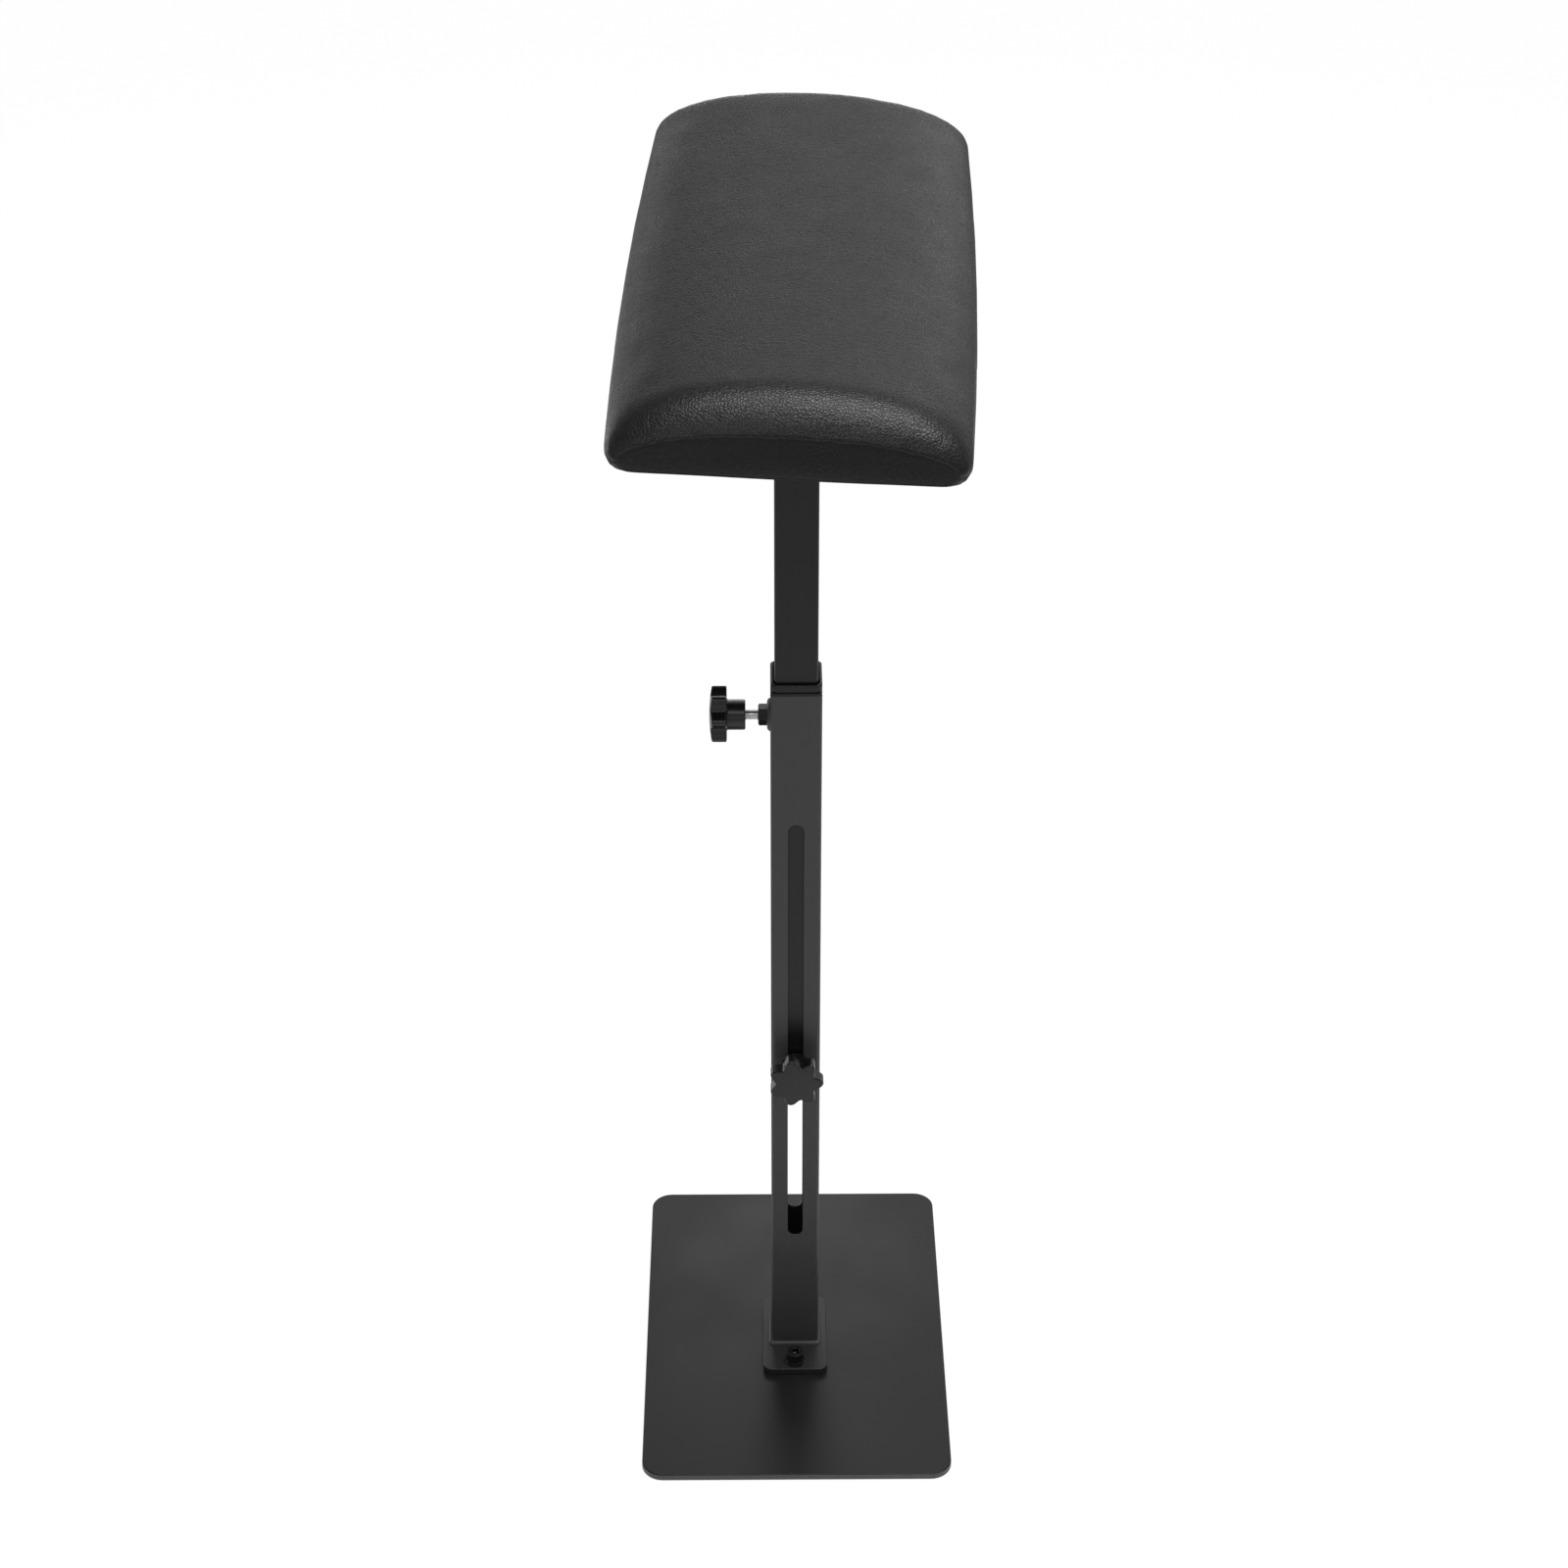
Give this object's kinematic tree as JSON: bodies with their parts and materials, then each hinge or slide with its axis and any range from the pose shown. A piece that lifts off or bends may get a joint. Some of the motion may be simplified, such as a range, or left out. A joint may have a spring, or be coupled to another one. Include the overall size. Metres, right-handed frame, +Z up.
{
  "type": "tattoo arm rest stand",
  "caption": "Free-standing arm rest: a domed pad that swivels and tilts on a telescoping square mast, clamped by star knobs, on a flat steel base plate.",
  "frame": {"origin": "on the floor, on the axis of the square tubes", "axes": "+Z up along the tubes, -Y towards the front, where the slot's clamp knob is, and +X to the right as seen from the front"},
  "size_m": [0.2545, 0.4984, 0.9992],
  "materials": {
    "base_coat": "fine matt black powder coat on steel plate",
    "tube_coat": "fine matt black powder coat on steel tube",
    "mast_coat": "satin black powder coat",
    "black_steel": "black oxide",
    "zinc": "bright zinc plate",
    "black_plastic": "moulded black thermoplastic with a light sheen",
    "rubber": "matt black rubber sheet",
    "nylon": "natural nylon",
    "plywood": "sanded plywood",
    "foam": "dense upholstery foam",
    "leatherette": "black pebbled leatherette with a soft sheen",
    "felt": "black non-woven dust cloth"
  },
  "bodies": {
    "stand": {"floor_mat": "rubber", "base_plate": "base_coat", "foot_flange": "tube_coat", "foot_weld": "tube_coat", "foot_screws": "black_steel", "foot_spring_washers": "black_steel", "foot_flat_washers": "black_steel", "outer_tube": "tube_coat", "tube_bush": "black_plastic", "side_weld_nut": "tube_coat", "side_nut_weld": "tube_coat"},
    "side_screw": {"side_stud": "zinc"},
    "side_knob": {"side_knob": "black_plastic"},
    "mast": {"mast_tube": "mast_coat", "mast_foot_plug": "black_plastic", "clamp_weld_nut": "zinc", "mast_cap_plate": "mast_coat", "mast_cap_weld": "mast_coat", "swivel_nut": "zinc", "swivel_bolt": "zinc", "swivel_flat_washer": "zinc", "swivel_spring_washer": "zinc"},
    "front_screw": {"front_stud": "zinc", "front_washer": "zinc"},
    "front_knob": {"front_knob": "black_plastic"},
    "swivel": {"swivel_glide_washer": "nylon", "swivel_bracket": "mast_coat", "friction_washers": "nylon"},
    "pad": {"tilt_yoke": "mast_coat", "yoke_welds": "mast_coat", "tilt_weld_nut": "mast_coat", "pad_plate": "mast_coat", "pad_screws": "zinc", "tee_nuts": "zinc", "pad_board": "plywood", "pad_foam": "foam", "pad_cover": "leatherette", "dust_cover": "felt"},
    "tilt_screw": {"tilt_stud": "zinc", "tilt_washer": "zinc"},
    "tilt_knob": {"tilt_knob": "black_plastic"}
  },
  "joints": [
    {"name": "mast_height", "type": "slide", "parent": "stand", "child": "mast", "axis": [0, 0, 1], "range_m": [-0.165, 0.214]},
    {"name": "side_screw_travel", "type": "slide", "parent": "stand", "child": "side_screw", "axis": [-1, 0, 0], "range_m": [0, 0.0025]},
    {"name": "side_knob_turn", "type": "hinge", "parent": "side_screw", "child": "side_knob", "pos_m": [-0.0373, 0, 0.6035], "axis": [-1, 0, 0], "range_deg": [0, 720]},
    {"name": "front_screw_travel", "type": "slide", "parent": "mast", "child": "front_screw", "axis": [0, -1, 0], "range_m": [0, 0.0025]},
    {"name": "front_knob_turn", "type": "hinge", "parent": "front_screw", "child": "front_knob", "pos_m": [0, -0.0207, 0.299], "axis": [0, -1, 0], "range_deg": [0, 720]},
    {"name": "pad_swivel", "type": "hinge", "parent": "mast", "child": "swivel", "pos_m": [0, 0, 0.861], "axis": [0.0349, 0, 0.9994], "continuous": true},
    {"name": "pad_tilt", "type": "hinge", "parent": "swivel", "child": "pad", "pos_m": [0.0012, 0, 0.89548], "axis": [0.9984, -0.0436, -0.0349], "range_deg": [-64, 56]},
    {"name": "tilt_screw_travel", "type": "slide", "parent": "pad", "child": "tilt_screw", "axis": [-0.9984, 0.0436, 0.0349], "range_m": [0, 0.0025]},
    {"name": "tilt_knob_turn", "type": "hinge", "parent": "tilt_screw", "child": "tilt_knob", "pos_m": [0.0012, 0, 0.89548], "axis": [-0.9984, 0.0436, 0.0349], "range_deg": [0, 720]}
  ],
  "couplings": [
    {"joint": "side_knob_turn", "follows": "side_screw_travel", "rad_per_m": 5026.5},
    {"joint": "front_knob_turn", "follows": "front_screw_travel", "rad_per_m": 5026.5},
    {"joint": "tilt_knob_turn", "follows": "tilt_screw_travel", "rad_per_m": 5026.5}
  ]
}
